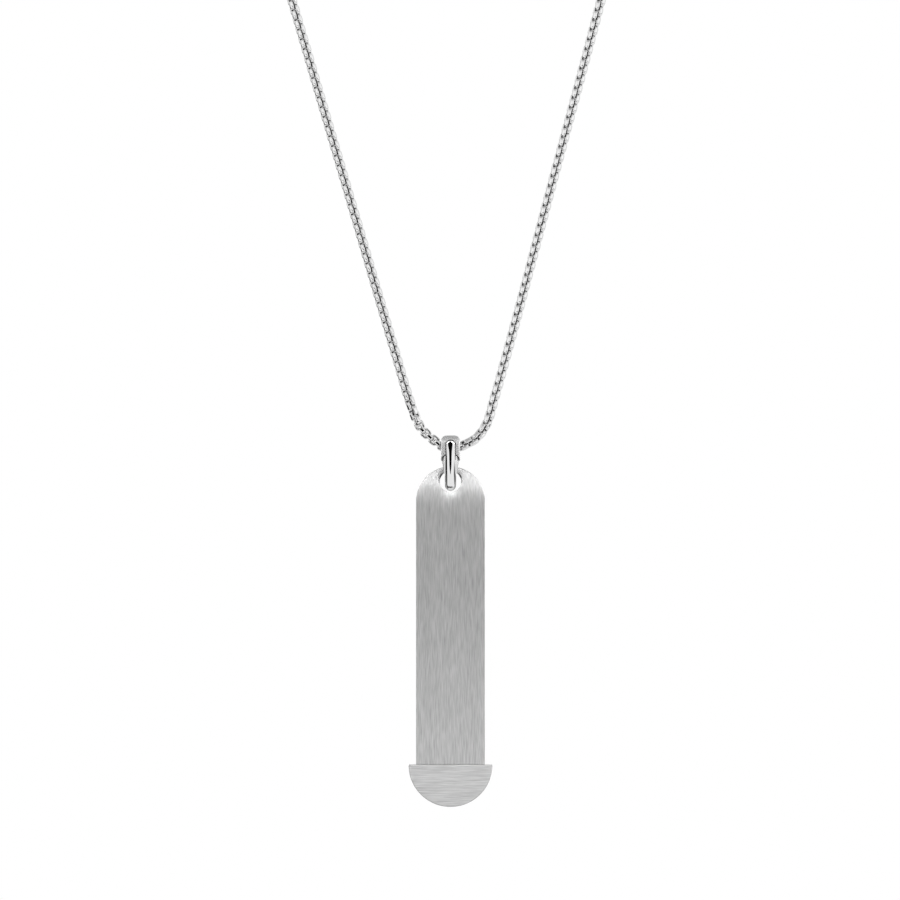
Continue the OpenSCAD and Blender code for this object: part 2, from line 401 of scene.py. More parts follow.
def surface_of(name, field, low, high, step=CAST_STEP):
    """A closed mesh of quads where a distance field is zero, with its points pulled onto the surface."""
    axes = [np.arange(low[a] - 2 * step, high[a] + 3 * step, step) for a in range(3)]
    shape = [len(a) for a in axes]
    grid = np.stack(np.meshgrid(*axes, indexing="ij"), axis=-1)
    value = field(grid.reshape(-1, 3)).reshape(shape)
    value[np.abs(value) < TINY] = TINY
    inside = value < 0
    # Each cell that the surface crosses gets the mean of the spots where it crosses the cell's edges
    total = np.zeros([n - 1 for n in shape] + [3])
    count = np.zeros([n - 1 for n in shape])
    crossings = []
    for axis in range(3):
        first = [slice(None)] * 3
        second = [slice(None)] * 3
        first[axis] = slice(0, -1)
        second[axis] = slice(1, None)
        a, b = value[tuple(first)], value[tuple(second)]
        crossed = inside[tuple(first)] != inside[tuple(second)]
        share = np.where(crossed, a / np.where(crossed, a - b, 1), 0)
        spot = grid[tuple(first)].copy()
        spot[..., axis] += share * step
        spot *= crossed[..., None]
        others = [k for k in range(3) if k != axis]
        for i in (0, 1):
            for j in (0, 1):
                part = [slice(None)] * 3
                part[others[0]] = slice(i, shape[others[0]] - 1 + i)
                part[others[1]] = slice(j, shape[others[1]] - 1 + j)
                total += spot[tuple(part)]
                count += crossed[tuple(part)]
        crossings.append((crossed, others))
    active = count > 0
    number = np.full(active.shape, -1)
    number[active] = np.arange(active.sum())
    points = total[active] / count[active][:, None]
    # Each crossed edge gets a quad between the four cells round it
    faces = []
    for axis, (crossed, others) in enumerate(crossings):
        cells = np.argwhere(crossed)
        fits = np.all([(cells[:, k] > 0) & (cells[:, k] < shape[k] - 1) for k in others], axis=0)
        cells = cells[fits]
        quad = []
        for i, j in ((1, 1), (0, 1), (0, 0), (1, 0)):
            at = cells.copy()
            at[:, others[0]] -= i
            at[:, others[1]] -= j
            quad.append(number[tuple(at.T)])
        quad = np.stack(quad, axis=1)
        starts_inside = inside[tuple(cells.T)]
        flip = starts_inside if axis == 1 else ~starts_inside
        quad[flip] = quad[flip][:, ::-1]
        faces.append(quad)
    # The points move down the field's slope
    reach = step * SLOPE_REACH
    for _ in range(PULLS):
        slope = [(field(points + reach * d) - field(points - reach * d)) / (2 * reach) for d in np.eye(3)]
        slope = np.stack(slope, axis=1)
        steep = np.maximum((slope ** 2).sum(axis=1), SLOPE_LEAST ** 2)
        move = slope * (field(points) / steep)[:, None]
        points = points - np.clip(move, -step * PULL_MOST, step * PULL_MOST)
    return new_mesh(name, points + AXIS, np.concatenate(faces))


def hood_piece():
    """The bail's hood."""
    piece = surface_of("hood_cast", hood_field, hood_low, hood_high)
    return place(piece, "bail", "bail_hood")


def loop_piece():
    """The bail's loop."""
    piece = surface_of("loop_cast", loop_field, loop_low - CORE_ROOM, loop_high + CORE_ROOM)
    return place(piece, "bail", "bail_loop")


# Flat pieces with rounded rims
# The least cosine between a corner's way out and its side's, which limits how far a sharp corner moves
MITER_LEAST = 0.5
# Edges sharper than this stay sharp, in degrees
SHARP_DEG = 28


def rim_directions(outline):
    """Each outline point's way outwards, long enough to move both of its sides out by 1."""
    ahead = np.roll(outline, -1, axis=0) - outline
    behind = outline - np.roll(outline, 1, axis=0)
    ahead /= np.linalg.norm(ahead, axis=1)[:, None]
    behind /= np.linalg.norm(behind, axis=1)[:, None]
    normal = np.stack([ahead[:, 1] + behind[:, 1], -(ahead[:, 0] + behind[:, 0])], axis=1)
    normal /= np.linalg.norm(normal, axis=1)[:, None]
    side = np.stack([ahead[:, 1], -ahead[:, 0]], axis=1)
    miter = 1 / np.maximum((normal * side).sum(axis=1), MITER_LEAST)
    return normal * miter[:, None]


def slab_mesh(name, outline, inner, half_t, relief, rings, rim, lip=None):
    """A flat piece seen from the front, from an inner loop out to its outline. The face rolls off over the
    rim's width to its slope in degrees, and over the lip's width round the inner loop, where there is one."""
    rim_w, rim_deg = rim
    outwards = rim_directions(outline)
    inset = outline - outwards * rim_w
    from_middle = inner - inner.mean(axis=0)
    from_middle /= np.maximum(np.linalg.norm(from_middle, axis=1), TINY)[:, None]
    # Each station is a loop of points and how far it lies behind the face
    stations = []
    start = inner
    if lip is not None:
        lip_w, lip_deg = lip
        start = inner + from_middle * lip_w
        for f in (1, 0.75, 0.5, 0.25):
            spots = inner + from_middle * lip_w * (1 - f)
            stations.append((spots, lip_w * np.tan(np.radians(lip_deg)) * f))
    for f in rings:
        stations.append((start * (1 - f) + inset * f, 0.0))
    for f in (0.25, 0.5, 0.75, 1):
        stations.append((inset + outwards * rim_w * f, rim_w * np.tan(np.radians(rim_deg)) / 2 * f * f))
    loops = []
    for spots, drop in stations:
        loops.append(np.stack([spots[:, 0], relief(spots) + drop - half_t, spots[:, 1]], axis=1))
    for spots, drop in reversed(stations):
        loops.append(np.stack([spots[:, 0], spots[:, 0] * 0 - drop + half_t, spots[:, 1]], axis=1))
    faces = [face[::-1] for face in tube_faces(len(loops), len(outline), closed=lip is not None)]
    return new_mesh(name, np.concatenate(loops) + AXIS, faces, sharp_deg=SHARP_DEG)


# Slope in degrees of the plate's face, by distance down from its top: it rolls back towards its round top
ROLL = [
    (0, 8.3), (1.2, 8.2), (1.65, 7.9), (2.25, 6.8), (3, 5.5), (3.75, 3.8), (4.5, 2.5), (5.25, 1.7), (6, 1.1),
    (7, 0.4), (8, 0),
]
ROLL_DOWN = np.linspace(0, 8, 81)
ROLL_SLOPE = np.tan(np.radians(table(ROLL_DOWN, ROLL)))
ROLL_DEPTH = np.cumsum(ROLL_SLOPE[::-1])[::-1] * ROLL_DOWN[1]

# Along the dome the face's edge drops over a width, and the drop sets in between two distances from the top
DOME_EDGE_W = 0.9
DOME_EDGE_DROP = 0.03
DOME_FADE = (6.5, 4.5)
# The dish round the hole: its width and depth, and what is added in its upper half and right under the hole
DISH_W, DISH_W_UNDER = 1.1, 0.4
DISH_DEPTH, DISH_DEPTH_UPPER, DISH_DEPTH_UNDER = 0.04, 0.06, 0.04
# A spot counts as under the hole by the sine of its way down: not at all at the first, fully at the second
DISH_UNDER = (0.55, 0.95)


def plate_relief(spots):
    """How far the plate's face lies behind its flat plane."""
    x, z = spots.T
    r, top = plate_high[0], plate_high[2]
    roll = np.interp(top - z, ROLL_DOWN, ROLL_DEPTH)
    dome_edge = np.hypot(x, np.maximum(z - top + r, 0)) - r + DOME_EDGE_W
    fade = ramp(top - z, *DOME_FADE)
    edge = DOME_EDGE_DROP * np.maximum(dome_edge / DOME_EDGE_W, 0) ** 2 * fade
    off_hole = np.hypot(x, z - HOLE_Z)
    under = ramp((HOLE_Z - z) / off_hole, *DISH_UNDER)
    dish = np.clip(1 - (off_hole - HOLE_R) / (DISH_W + DISH_W_UNDER * under), 0, 1)
    upper = ramp(z - HOLE_Z, -HOLE_R / 2, HOLE_R / 2)
    depth = DISH_DEPTH + DISH_DEPTH_UPPER * upper + DISH_DEPTH_UNDER * under
    return roll + edge + depth * dish ** 2


# The hole's lip: its width, its slope in degrees below and above, and how much it narrows the hole above
LIP_W = 0.28
LIP_SLOPE = (1, 34)
LIP_NARROWS = 0.04
# The lip's share of its upper form at the hole's middle height, and how fast that grows with the sine upwards
LIP_MIDDLE, LIP_GROWTH = 0.42, 0.9
# The plate's rim: its width, and its slope in degrees round the dome and down the sides
PLATE_RIM_W = 0.12
PLATE_RIM_SLOPE = (8, 55)
# The heights from the dome's foot between which the slope changes
PLATE_RIM_CHANGE = (1, -1.5)
# Shares of the way from the hole to the rim at which the face has a ring of points
PLATE_RINGS = np.concatenate([[0, 0.02, 0.05, 0.08, 0.12, 0.17, 0.23, 0.3], np.linspace(0.38, 1, 18)])


def plate_piece():
    """The long plate with its hole, whose face rolls back at the top and dips round the hole."""
    r, top, foot = plate_high[0], plate_high[2], cap_high[2]
    arc = np.radians(np.linspace(0, 180, 129))
    dome = np.stack([r * np.cos(arc), top - r + r * np.sin(arc)], axis=1)
    down = np.linspace(top - r, foot, 46)[1:]
    left = np.stack([np.full(len(down), -r), down], axis=1)
    floor = np.stack([np.linspace(-r, r, 22)[1:], np.full(21, foot)], axis=1)
    right = np.stack([np.full(len(down), r), down[::-1]], axis=1)[1:]
    outline = np.concatenate([dome, left, floor, right])
    angle = np.arctan2(outline[:, 1] - HOLE_Z, outline[:, 0])
    upper = smooth(np.sin(angle) * LIP_GROWTH + LIP_MIDDLE)
    hole_r = HOLE_R - LIP_NARROWS * upper
    hole = np.stack([hole_r * np.cos(angle), HOLE_Z + hole_r * np.sin(angle)], axis=1)
    lip = (LIP_W, LIP_SLOPE[0] + (LIP_SLOPE[1] - LIP_SLOPE[0]) * upper)
    rim = (PLATE_RIM_W, ramp(outline[:, 1] - (top - r), *PLATE_RIM_CHANGE, *PLATE_RIM_SLOPE))
    piece = slab_mesh("plate_body", outline, hole, plate_high[1], plate_relief, PLATE_RINGS, rim, lip)
    return place(piece, "pendant", "plate")


# Width and slope in degrees of the cap's rim
CAP_RIM = (0.1, 32)
# How far down the cap's middle lies, as a share of its radius, and its inner loop's share of its outline
CAP_MIDDLE = 0.42
CAP_INNER = 0.05


def flat_face(spots):
    """A face without relief."""
    return spots[:, 0] * 0


def cap_piece():
    """The half-round cap at the plate's foot."""
    r, top = cap_high[0], cap_high[2]
    arc = np.radians(np.linspace(180, 360, 145))
    bowl = np.stack([r * np.cos(arc), top + r * np.sin(arc)], axis=1)
    edge = np.stack([np.linspace(r, -r, 42)[1:-1], np.full(40, top)], axis=1)
    outline = np.concatenate([bowl, edge])
    middle = np.array([0, top - CAP_MIDDLE * r])
    inner = middle + (outline - middle) * CAP_INNER
    piece = slab_mesh("cap_body", outline, inner, cap_high[1], flat_face, np.linspace(0, 1, 14), CAP_RIM)
    return place(piece, "pendant", "end_cap")


# The share of the clasp's half length that its waist's rows span, and the radii of its end faces' rings
CLASP_WAIST = 0.8
CLASP_END_RINGS = (0.9, 0.02)
CLASP_SIDES = 48


def clasp_piece():
    """The barrel at the nape, with rounded ends."""
    half = clasp_high[0]
    r = (clasp_high[2] - clasp_low[2]) / 2
    centre = (clasp_low + clasp_high) / 2
    barrel, barrel_r = half - CLASP_CORNER, r - CLASP_CORNER
    turn = np.radians(np.linspace(0, 90, 9))
    ends = [(barrel + CLASP_CORNER * math.sin(a), barrel_r + CLASP_CORNER * math.cos(a)) for a in turn]
    waist = [(half * share, r) for share in np.linspace(0, CLASP_WAIST, 6)]
    profile = waist + ends + [(half, ring) for ring in CLASP_END_RINGS]
    profile = [(-x, q) for x, q in reversed(profile)] + profile[1:]
    points = []
    for x, q in profile:
        for k in range(CLASP_SIDES):
            a = 2 * math.pi * k / CLASP_SIDES
            points.append((centre[0] + x, centre[1] + q * math.cos(a), centre[2] + q * math.sin(a)))
    piece = new_mesh("clasp_barrel", points, tube_faces(len(profile), CLASP_SIDES, closed=False))
    return place(piece, "necklace", "clasp")


# The chain's route, given points: across, back, up. The strands' are seen from the lowest centre
NECK_RIGHT = [
    (5.5, 1.6, 0), (8.5, 1.6, 0), (16, 0.4, -0.4), (28, -5, -1.8), (40, -14, -4),
    (49, -26, -7), (53, -41, -12), (51, -52.5, -18.5),
]
NECK_LEFT = [
    (-5.5, 1.6, 0), (-8.5, 1.6, 0), (-16, 0.4, -0.4), (-28, -5, -1.8), (-40, -14, -4),
    (-50, -26, -7), (-55, -41, -12), (-54, -52, -18.5),
]
STRAND_RIGHT = [
    (47.2, 44.5, 160), (41.8, 38.5, 140), (32.7, 29, 106), (23, 19, 68.5), (14.7, 10.5, 37.5),
    (8.25, 3.8, 13.4), (6.55, 2, 7.4), (5.38, 1, 3.65), (4.55, 0.6, 2.3), (3.45, 0.3, 1.25),
    (2.4, 0.1, 0.7), (1.4, 0, 0.25), (0.1, 0, 0),
]
STRAND_LEFT = [
    (-51, 44.7, 160), (-45.2, 38.5, 140), (-35, 29, 106), (-24.2, 19, 68.5), (-15.1, 10.5, 37.5),
    (-8, 3.8, 13.4), (-6.2, 2, 7.4), (-5.1, 1.2, 4.4), (-4.3, 0.7, 2.9), (-3.3, 0.4, 1.9),
    (-2.3, 0.15, 1.1), (-1.4, 0, 0.4),
]


def chain_curve(steps):
    """Close points along the smooth curve through the route, with their distances along it."""
    route = np.concatenate([
        np.array(NECK_RIGHT, float), np.array(STRAND_RIGHT, float) + AXIS,
        (np.array(STRAND_LEFT, float) + AXIS)[::-1], np.array(NECK_LEFT, float)[::-1],
    ])
    gap = np.linalg.norm(np.diff(route, axis=0), axis=1)
    chord = np.diff(route, axis=0) / gap[:, None]
    slope = np.empty_like(route)
    slope[0], slope[-1] = chord[0], chord[-1]
    before, after = gap[:-1, None], gap[1:, None]
    slope[1:-1] = (chord[1:] * before + chord[:-1] * after) / (before + after)
    u = np.linspace(0, 1, steps, endpoint=False)[None, :, None]
    a, b = route[:-1, None], route[1:, None]
    reach = gap[:, None, None]
    points = (
        (2 * u ** 3 - 3 * u ** 2 + 1) * a + (u ** 3 - 2 * u ** 2 + u) * reach * slope[:-1, None]
        + (3 * u ** 2 - 2 * u ** 3) * b + (u ** 3 - u ** 2) * reach * slope[1:, None]
    ).reshape(-1, 3)
    points = np.concatenate([points, route[-1:]])
    along = np.concatenate([[0], np.cumsum(np.linalg.norm(np.diff(points, axis=0), axis=1))])
    return points, along


# One link: strip thickness, half breadth at the sides and at the ends, corner radius, length in the chain
STRIP_T = 0.36
STRIP_B = 0.34
END_B = 0.28
LINK_CORNER = 0.36
PITCH = 0.808
# A quarter of the strip's rounded section, as shares of its half thickness and half breadth
STRIP_SECTION = [(1, 0), (1, 0.4), (0.96, 0.74), (0.72, 0.95), (0.3, 1)]
# The strip's inner side is what lies further in than this share
INNER_SIDE = -0.7
# A link's heading is taken over this share of its length to both sides
HEADING_REACH = 0.4


def link_points():
    """Points of one link about its middle: across its opening, through its opening, along the chain. Also its
    faces, and which of them are on its inner side."""
    half_t = STRIP_T / 2
    core_w, core_l = CHAIN_R - half_t - LINK_CORNER, PITCH / 2 + half_t - LINK_CORNER
    path = []
    for quarter, (sx, sz) in enumerate(((1, 1), (-1, 1), (-1, -1), (1, -1))):
        for turn in range(0, 91, 15):
            a = math.radians(quarter * 90 + turn)
            path.append((sx * core_w + LINK_CORNER * math.cos(a), sz * core_l + LINK_CORNER * math.sin(a), a))
    section = STRIP_SECTION + [(-out, wide) for out, wide in reversed(STRIP_SECTION)]
    section += [(out, -wide) for out, wide in reversed(section[1:-1])]
    points = []
    for px, pz, a in path:
        breadth = STRIP_B + (END_B - STRIP_B) * math.sin(a) ** 2
        for out, wide in section:
            x, y, z = px + out * half_t * math.cos(a), wide * breadth, pz + out * half_t * math.sin(a)
            # The link's outer sides are rounded to the chain's radius
            reach = math.hypot(x, y)
            if reach > CHAIN_R:
                x, y = x * CHAIN_R / reach, y * CHAIN_R / reach
            points.append((x, y, z))
    across = len(section)
    outs = [out for out, wide in section]
    inner = [outs[j] < INNER_SIDE and outs[(j + 1) % across] < INNER_SIDE for j in range(across)]
    faces = tube_faces(len(path), across, closed=True)
    return np.array(points), np.array(faces), np.tile(inner, len(path))


# Roll of the links in degrees on the right strand, at the lowest point and on the left strand
ROLL_RIGHT, ROLL_LOWEST, ROLL_LEFT = 46, 88, 26
# Where it changes, in distances to the left along the chain from its lowest point
ROLL_CHANGE_LOWEST = (-2.5, 2.5)
ROLL_CHANGE_LEFT = (5, 11)


def chain_roll(s):
    """Roll of the links in degrees, at a distance to the left along the chain from its lowest point."""
    turned = ramp(s, *ROLL_CHANGE_LOWEST, ROLL_RIGHT, ROLL_LOWEST)
    return turned + ramp(s, *ROLL_CHANGE_LEFT, 0, ROLL_LEFT - ROLL_LOWEST)


def link_places():
    """Each link's middle, and its directions across, through and along."""
    curve, along = chain_curve(steps=60)
    count = int(round(along[-1] / PITCH))
    pitch = along[-1] / count
    where = (np.arange(count) + 0.5) * pitch
    near = HEADING_REACH * pitch
    spots, ahead, behind = (
        np.stack([np.interp(at, along, curve[:, k]) for k in range(3)], axis=1)
        for at in (where, where + near, where - near)
    )
    heading = ahead - behind
    heading /= np.linalg.norm(heading, axis=1)[:, None]
    # The frame starts facing the viewer at the lowest link and never spins on its way up both strands
    lowest = int(np.argmin(spots[:, 2]))
    sides = np.zeros_like(heading)
    for step in (range(lowest, count), range(lowest, -1, -1)):
        now = np.array([0.0, -1.0, 0.0])
        for k in step:
            now = now - heading[k] * np.dot(now, heading[k])
            now = now / np.linalg.norm(now)
            sides[k] = now
    up = np.cross(heading, sides)
    from_lowest = where - along[np.argmin(curve[:, 2])]
    # Each second link is turned by a right angle
    roll = np.radians(chain_roll(from_lowest)) + ((np.arange(count) + 1) % 2) * math.pi / 2
    across = sides * np.cos(roll)[:, None] - up * np.sin(roll)[:, None]
    return spots, across, np.cross(heading, across), heading


def chain_pieces(parts, outer_finish, inner_painted_shade):
    """The chain's links in a few meshes. Their inner sides get painted shade, a dark tone for the dark gaps
    between the links.
    """
    link, link_faces, inner = link_points()
    middles, *directions = link_places()
    count = len(middles)
    for part in range(parts):
        chosen = np.arange(count * part // parts, count * (part + 1) // parts)
        points = middles[chosen, None]
        for k, direction in enumerate(directions):
            points = points + link[None, :, k:k + 1] * direction[chosen, None]
        faces = (link_faces[None] + (np.arange(len(chosen)) * len(link))[:, None, None]).reshape(-1, 4)
        piece = new_mesh(f"chain_links_{part + 1}", points.reshape(-1, 3), faces)
        piece.data.materials.append(outer_finish)
        # The second material is painted shade on the links' inner sides
        piece.data.materials.append(inner_painted_shade)
        piece.data.polygons.foreach_set("material_index", np.tile(inner, len(chosen)).astype(int))
        place(piece, "necklace", "chain")


# Grains: lines per metre along X, Y and Z, bump height in metres, share by which the tone changes
FAINT_GRAIN = ((900, 900, 900), 0.000001, 0.02)
UPRIGHT_BRUSHING = ((9000, 9000, 450), 0.000002, 0.24)
CROSS_BRUSHING = ((350, 9000, 9000), 0.000002, 0.2)
# The noise's detail, and its values at which the tone is darkest and lightest
NOISE_DETAIL = 3.0
NOISE_DARKEST, NOISE_LIGHTEST = 0.25, 0.75


def node_tree(material):
    """A material's nodes and links."""
    material.use_nodes = True
    return material.node_tree.nodes, material.node_tree.links


def metal(name, tone, roughness, grain=FAINT_GRAIN, anisotropic=0.0, turned=0.0):
    """Bare metal with a grain."""
    material = bpy.data.materials.new(name)
    nodes, links = node_tree(material)
    shader = nodes["Principled BSDF"]
    shader.inputs["Metallic"].default_value = 1.0
    shader.inputs["Base Color"].default_value = (tone, tone, tone, 1)
    shader.inputs["Roughness"].default_value = roughness
    shader.inputs["Anisotropic"].default_value = anisotropic
    shader.inputs["Anisotropic Rotation"].default_value = turned
    stretch, height, change = grain
    coords = nodes.new("ShaderNodeTexCoord")
    scaled = nodes.new("ShaderNodeMapping")
    scaled.inputs["Scale"].default_value = stretch
    links.new(coords.outputs["Object"], scaled.inputs["Vector"])
    noise = nodes.new("ShaderNodeTexNoise")
    noise.inputs["Scale"].default_value = 1.0
    noise.inputs["Detail"].default_value = NOISE_DETAIL
    links.new(scaled.outputs["Vector"], noise.inputs["Vector"])
    bump = nodes.new("ShaderNodeBump")
    bump.inputs["Strength"].default_value = 1.0
    bump.inputs["Distance"].default_value = height
    links.new(noise.outputs["Fac"], bump.inputs["Height"])
    links.new(bump.outputs["Normal"], shader.inputs["Normal"])
    tint = nodes.new("ShaderNodeMapRange")
    tint.inputs["From Min"].default_value = NOISE_DARKEST
    tint.inputs["From Max"].default_value = NOISE_LIGHTEST
    tint.inputs["To Min"].default_value = tone * (1 - change)
    tint.inputs["To Max"].default_value = tone * (1 + change)
    links.new(noise.outputs["Fac"], tint.inputs["Value"])
    links.new(tint.outputs["Result"], shader.inputs["Base Color"])
    if anisotropic:
        tangent = nodes.new("ShaderNodeTangent")
        tangent.direction_type = "RADIAL"
        tangent.axis = "Z"
        links.new(tangent.outputs["Tangent"], shader.inputs["Tangent"])
    return material


def finish(piece, material, second=None, chosen=None):
    """Gives a piece its finish, and a second material to the faces whose middle is chosen. That is another
    finish on the loop, and painted shade on the plate's upper lip and the cap's round edge.
    """
    piece.data.materials.clear()
    piece.data.materials.append(material)
    if second is None:
        return
    piece.data.materials.append(second)
    middles = np.empty(len(piece.data.polygons) * 3)
    piece.data.polygons.foreach_get("center", middles)
    index = chosen(*(middles.reshape(-1, 3) / MM - AXIS).T).astype(int)
    piece.data.polygons.foreach_set("material_index", index)


# How far out from the hole and how far under its middle the painted shade on the upper lip reaches
LIP_SHADE_W, LIP_SHADE_DOWN = 0.2, 0.2
# The width of the painted shade along the cap's round edge, and how far under the straight top it starts
CAP_SHADE_W, CAP_SHADE_DOWN = 0.11, 0.1
# How far beside the bar the flanks' finish starts, and its lowest height
FLANK_FINISH_OFF, FLANK_FINISH_FOOT = 0.08, -4.1


def on_upper_lip_painted_shade(x, y, z):
    """Where the plate has painted shade on its upper lip: a dark tone for the dark crescents round the hole's
    top.
    """
    return (np.hypot(x, z - HOLE_Z) < HOLE_R + LIP_SHADE_W) & (z > HOLE_Z - LIP_SHADE_DOWN)


def on_cap_edge_painted_shade(x, y, z):
    """Where the cap has painted shade along its round lower edge."""
    off_middle = np.hypot(x, z - cap_high[2])
    return (off_middle > cap_high[0] - CAP_SHADE_W) & (z < cap_high[2] - CAP_SHADE_DOWN)


def on_flanks(x, y, z):
    """Where the loop has the flanks' finish."""
    return (np.abs(x) > BAR_R + FLANK_FINISH_OFF) & (z > FLANK_FINISH_FOOT)


hood = hood_piece()
loop = loop_piece()
plate = plate_piece()
cap = cap_piece()
clasp = clasp_piece()
plate_metal = metal("plate_brushed", tone=0.455, roughness=0.55, grain=UPRIGHT_BRUSHING, anisotropic=0.9)
# A dark tone painted on the plate's upper lip as painted shade for the dark crescents round the hole
lip_painted_shade_metal = metal("lip_painted_shade", tone=0.13, roughness=0.25)
cap_metal = metal("cap_brushed", tone=0.7, roughness=0.55, grain=CROSS_BRUSHING, anisotropic=0.4, turned=0.25)
# A darker tone painted along the cap's round lower edge as painted shade
cap_edge_painted_shade_metal = metal("cap_edge_painted_shade", tone=0.5, roughness=0.5)
hood_metal = metal("hood_satin", tone=0.5, roughness=0.62)
bar_metal = metal("loop_polished", tone=0.8, roughness=0.04)
flank_metal = metal("flank_satin", tone=0.43, roughness=0.5)
clasp_metal = metal("clasp_polished", tone=0.76, roughness=0.12)
link_metal = metal("chain_polished", tone=0.88, roughness=0.11)
# A dark tone painted on the links' inner sides as painted shade for the gaps between links
link_inside_painted_shade_metal = metal("chain_inside_painted_shade", tone=0.22, roughness=0.35)
# The plate's upper lip and the cap's round edge get painted shade as their second material
finish(plate, plate_metal, lip_painted_shade_metal, on_upper_lip_painted_shade)
finish(cap, cap_metal, cap_edge_painted_shade_metal, on_cap_edge_painted_shade)
finish(hood, hood_metal)
finish(loop, bar_metal, flank_metal, on_flanks)
finish(clasp, clasp_metal)
chain_pieces(parts=4, outer_finish=link_metal, inner_painted_shade=link_inside_painted_shade_metal)


# Studio
# Directions are in degrees: rise above the horizon, turn to the right of the viewer, away from the viewer.
# A ramp is its start and end, then its value at each, which is 0 and 1 where it isn't given.
# The dark wedge round the viewer: its half width by rise, its edge's softness and its lean to the left
WEDGE = [
    (-90, 0), (-29, 0), (-26, 9), (-23.5, 13.5), (-21, 19.5), (-17, 23.5), (-12.5, 25.5), (-8, 27), (-4, 29),
    (-1.6, 32), (0.5, 38), (2.8, 47), (4.9, 55), (7.1, 60), (9, 60), (13, 42), (20, 14), (30, 9),
    (45, 6), (60, 0), (90, 0),
]
WEDGE_BLUR = 2.5
WEDGE_LEAN = (-2, 6, 1.2, 7.5)
# How far away the dark ring's near and far edge are on the left, on the right and below, and their softness
RING_NEAR = (77, 80, 43)
RING_FAR = (142, 108, 64)
NEAR_BLUR = (-3, 3)
FAR_BLUR = (-4, 4)
# From left to right, by the direction's X, and from the sides to below, by rise
LEFT_TO_RIGHT = (-0.5, 0.5)
RING_BELOW = (-60, -32, 1, 0)
# The ring is weaker above the horizon and ends higher up. On the right it is only a low stretch
RING_WEAKER = (-5, 2, 1, 0.4)
RING_TOP = (25, 40, 1, 0)
ON_THE_RIGHT = (0.3, 0.6)
STRETCH_FOOT = (-19, -15.5)
STRETCH_TOP = (-12, -4.5, 1, 0)
# Brightness of the walls by rise, of the room behind the object, and how much the dark parts take away
WALLS = [(-90, 0.78), (-12, 1.05), (2, 1.05), (34, 1.05), (48, 0.7), (60, 0.45), (90, 0.45)]
BEHIND_LEVEL = 0.8
DARKEST = 0.997


def room(x, rise, turn, away):
    """Shares of the dark wedge and the dark ring in a direction, and of the part behind the object."""
    wedge = ramp(abs(turn + ramp(rise, *WEDGE_LEAN)) - table(rise, WEDGE), -WEDGE_BLUR, 0, 1, 0)
    below = ramp(rise, *RING_BELOW)
    near, far = (
        ramp(x, *LEFT_TO_RIGHT, left, right) * (1 - below) + below * under
        for left, right, under in (RING_NEAR, RING_FAR)
    )
    ring = ramp(away - near, *NEAR_BLUR) * ramp(rise, *RING_TOP) * ramp(rise, *RING_WEAKER)
    stretch = ramp(rise, *STRETCH_FOOT) * ramp(rise, *STRETCH_TOP)
    ring = ring * (1 - ramp(x, *ON_THE_RIGHT) * (1 - stretch) * (1 - below))
    return wedge, ring, ramp(away - far, *FAR_BLUR)


def studio_world():
    """White for the eye. For the metal a room: bright walls, a dark wedge in front and a dark ring beside."""
    world = bpy.data.worlds.new("studio")
    bpy.context.scene.world = world
    world.use_nodes = True
    tree = world.node_tree
    nodes, links = tree.nodes, tree.links
    nodes.clear()
    coords = nodes.new("ShaderNodeTexCoord")
    split = nodes.new("ShaderNodeSeparateXYZ")
    links.new(coords.outputs["Generated"], split.inputs["Vector"])
    x, y, z = (NodeValue(tree, socket) for socket in split.outputs)
    front = y * -1.0
    rise = z.of("DEGREES", z.of("ARCSINE", z))
    turn = x.of("DEGREES", x.of("ARCTAN2", x, front))
    away = x.of("DEGREES", x.of("ARCCOSINE", front))
    wedge, ring, behind = room(x, rise, turn, away)
    dark = wedge.of("MAXIMUM", wedge, ring * (1 - behind))
    lit = table(rise, WALLS) * (1 - behind) + behind * BEHIND_LEVEL
    level = lit * (1 - dark * DARKEST)
    path = nodes.new("ShaderNodeLightPath")
    seen = nodes.new("ShaderNodeMix")
    seen.data_type = "FLOAT"
    links.new(path.outputs["Is Camera Ray"], seen.inputs["Factor"])
    links.new(level.socket, seen.inputs["A"])
    seen.inputs["B"].default_value = 1.0
    background = nodes.new("ShaderNodeBackground")
    links.new(seen.outputs["Result"], background.inputs["Color"])
    out = nodes.new("ShaderNodeOutputWorld")
    links.new(background.outputs["Background"], out.inputs["Surface"])


# The floor's radius and height, its middle's place under the necklace, and its look
FLOOR_R = 500
FLOOR_Z = -310
FLOOR_Y = -55
FLOOR_SIDES = 96
FLOOR_TONE = 0.86
FLOOR_ROUGHNESS = 0.9


def studio_floor():
    """A round pale floor under the hanging necklace."""
    turn = [2 * math.pi * k / FLOOR_SIDES for k in range(FLOOR_SIDES)]
    points = [(FLOOR_R * math.cos(a), FLOOR_Y + FLOOR_R * math.sin(a), FLOOR_Z) for a in turn]
    floor = new_mesh("floor", points, [tuple(range(FLOOR_SIDES))], rounded=False)
    material = bpy.data.materials.new("floor_pale")
    nodes, _ = node_tree(material)
    nodes["Principled BSDF"].inputs["Base Color"].default_value = (FLOOR_TONE, FLOOR_TONE, FLOOR_TONE, 1)
    nodes["Principled BSDF"].inputs["Roughness"].default_value = FLOOR_ROUGHNESS
    floor.data.materials.append(material)
    floor.visible_glossy = False


# The photograph's width and height in pixels, and the pixel where the chain's lowest centre is
PHOTO_PIXELS = 900
LOWEST_PIXEL = (450.5, 448.5)
SENSOR = 36
# A pixel's size at the pendant, and the camera's distance, in metres
PIXEL = 0.15 * MM
CAMERA_DISTANCE = 1.0


